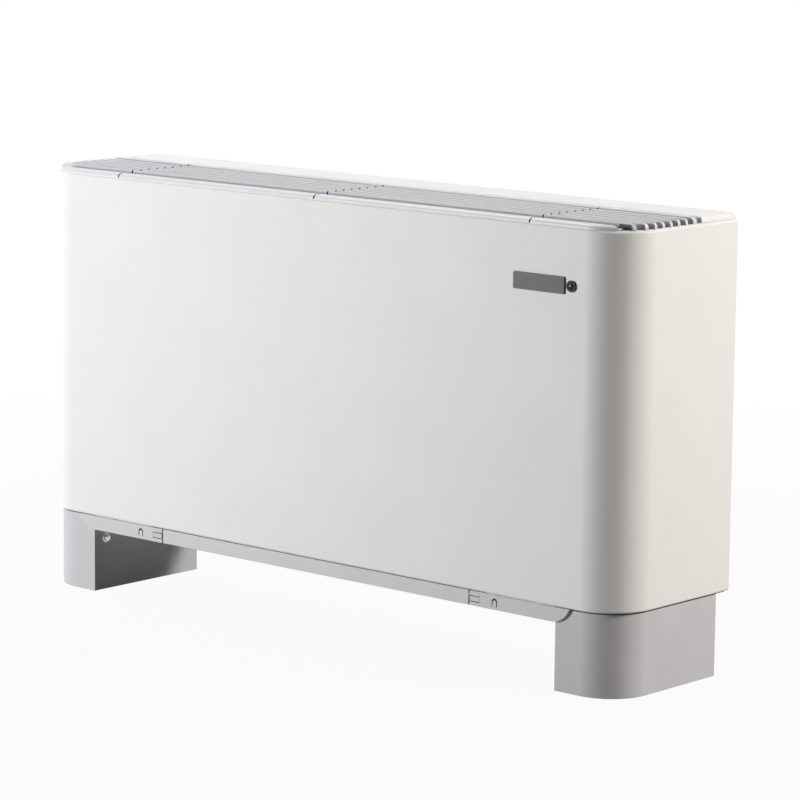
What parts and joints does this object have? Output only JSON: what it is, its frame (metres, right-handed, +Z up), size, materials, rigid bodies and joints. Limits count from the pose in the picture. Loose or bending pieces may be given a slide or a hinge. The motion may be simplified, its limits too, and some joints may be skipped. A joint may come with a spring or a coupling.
{
  "type": "fan coil unit",
  "caption": "Floor-standing fan coil unit: painted casing on hollow feet, slatted outlet head with hinged end lids, pull-out intake filter, blower and water coil.",
  "frame": {"origin": "on the floor, at the middle of the overall footprint", "axes": "+X to the unit's right along its width as seen from the front, +Y towards the wall, +Z up"},
  "size_m": [1, 0.224, 0.574],
  "materials": {
    "casing_paint": "satin",
    "head_white": "satin",
    "grille_grey": "satin",
    "foot_grey": "matte",
    "trim_grey": "matte",
    "filter_grey": "matte",
    "filter_net": "matte",
    "galvanised": "spangled",
    "badge_grey": "satin",
    "receiver_black": "gloss",
    "receiver_lens": "gloss",
    "blower_black": "matte",
    "wheel_grey": "matte",
    "motor_metal": "satin",
    "rubber_black": "matte",
    "fin_aluminium": "bright",
    "copper": "bright",
    "brass": "bright",
    "tray_grey": "matte",
    "box_grey": "matte",
    "terminal_ivory": "matte",
    "screw_steel": "bright"
  },
  "bodies": {
    "cabinet": {"casing": "casing_paint", "casing_end_left": "casing_paint", "casing_end_right": "casing_paint", "back_panel": "galvanised", "rear_plate_left": "galvanised", "rear_plate_right": "galvanised", "side_plate_left": "galvanised", "side_plate_right": "galvanised", "fan_deck": "galvanised", "base_panel_left": "galvanised", "base_panel_right": "galvanised", "foot_left": "foot_grey", "foot_right": "foot_grey", "foot_screws": "screw_steel", "casing_screws": "screw_steel", "trim_left": "trim_grey", "trim_right": "trim_grey", "head_frame": "head_white", "outlet_grille_left": "grille_grey", "outlet_grille_right": "grille_grey", "badge_plate": "badge_grey", "receiver_bezel": "receiver_black", "receiver_lens": "receiver_lens", "receiver_housing": "receiver_black", "scroll_upper_left": "blower_black", "scroll_lower_left": "blower_black", "scroll_upper_right": "blower_black", "scroll_lower_right": "blower_black", "motor_stator": "motor_metal", "motor_shield_left": "motor_metal", "motor_shield_right": "motor_metal", "motor_bearings": "screw_steel", "motor_mount_rings": "rubber_black", "motor_bracket": "galvanised", "coil_fins": "fin_aluminium", "coil_end_plate_left": "galvanised", "coil_end_plate_right": "galvanised", "coil_bends": "copper", "coil_header_in": "copper", "coil_header_out": "copper", "coil_tap_in": "copper", "coil_tap_out": "copper", "water_port_in": "brass", "water_port_out": "brass", "air_vent": "brass", "drip_tray": "tray_grey", "control_box": "box_grey", "control_cover": "box_grey", "control_screws": "screw_steel", "terminal_block": "terminal_ivory", "cable_gland": "rubber_black"},
    "fan_rotor": {"motor_shaft": "screw_steel", "impeller_left": "wheel_grey", "impeller_right": "wheel_grey"},
    "lid_left": {"end_lid_left": "grille_grey"},
    "lid_right": {"end_lid_right": "grille_grey"},
    "filter": {"filter_frame": "filter_grey", "filter_mesh": "filter_net"},
    "tongue_left": {"release_tongue_left": "trim_grey"},
    "tongue_right": {"release_tongue_right": "trim_grey"}
  },
  "joints": [
    {"name": "fan_spin", "type": "hinge", "parent": "cabinet", "child": "fan_rotor", "pos_m": [0, 0.0136, 0.195], "axis": [1, 0, 0], "continuous": true},
    {"name": "lid_left_hinge", "type": "hinge", "parent": "cabinet", "child": "lid_left", "pos_m": [-0.425, 0.0345, 0.57], "axis": [-1, 0, 0], "range_deg": [0, 85]},
    {"name": "lid_right_hinge", "type": "hinge", "parent": "cabinet", "child": "lid_right", "pos_m": [0.425, 0.0345, 0.57], "axis": [-1, 0, 0], "range_deg": [0, 85]},
    {"name": "filter_slide", "type": "slide", "parent": "cabinet", "child": "filter", "axis": [0, -1, 0], "range_m": [0, 0.22]},
    {"name": "tongue_left_press", "type": "hinge", "parent": "cabinet", "child": "tongue_left", "pos_m": [-0.2835, -0.107, 0.0948], "axis": [0, 0, 1], "range_deg": [0, 7], "stiffness_Nm_per_rad": 0.05},
    {"name": "tongue_right_press", "type": "hinge", "parent": "cabinet", "child": "tongue_right", "pos_m": [0.2835, -0.107, 0.0948], "axis": [0, 0, -1], "range_deg": [0, 7], "stiffness_Nm_per_rad": 0.05}
  ]
}
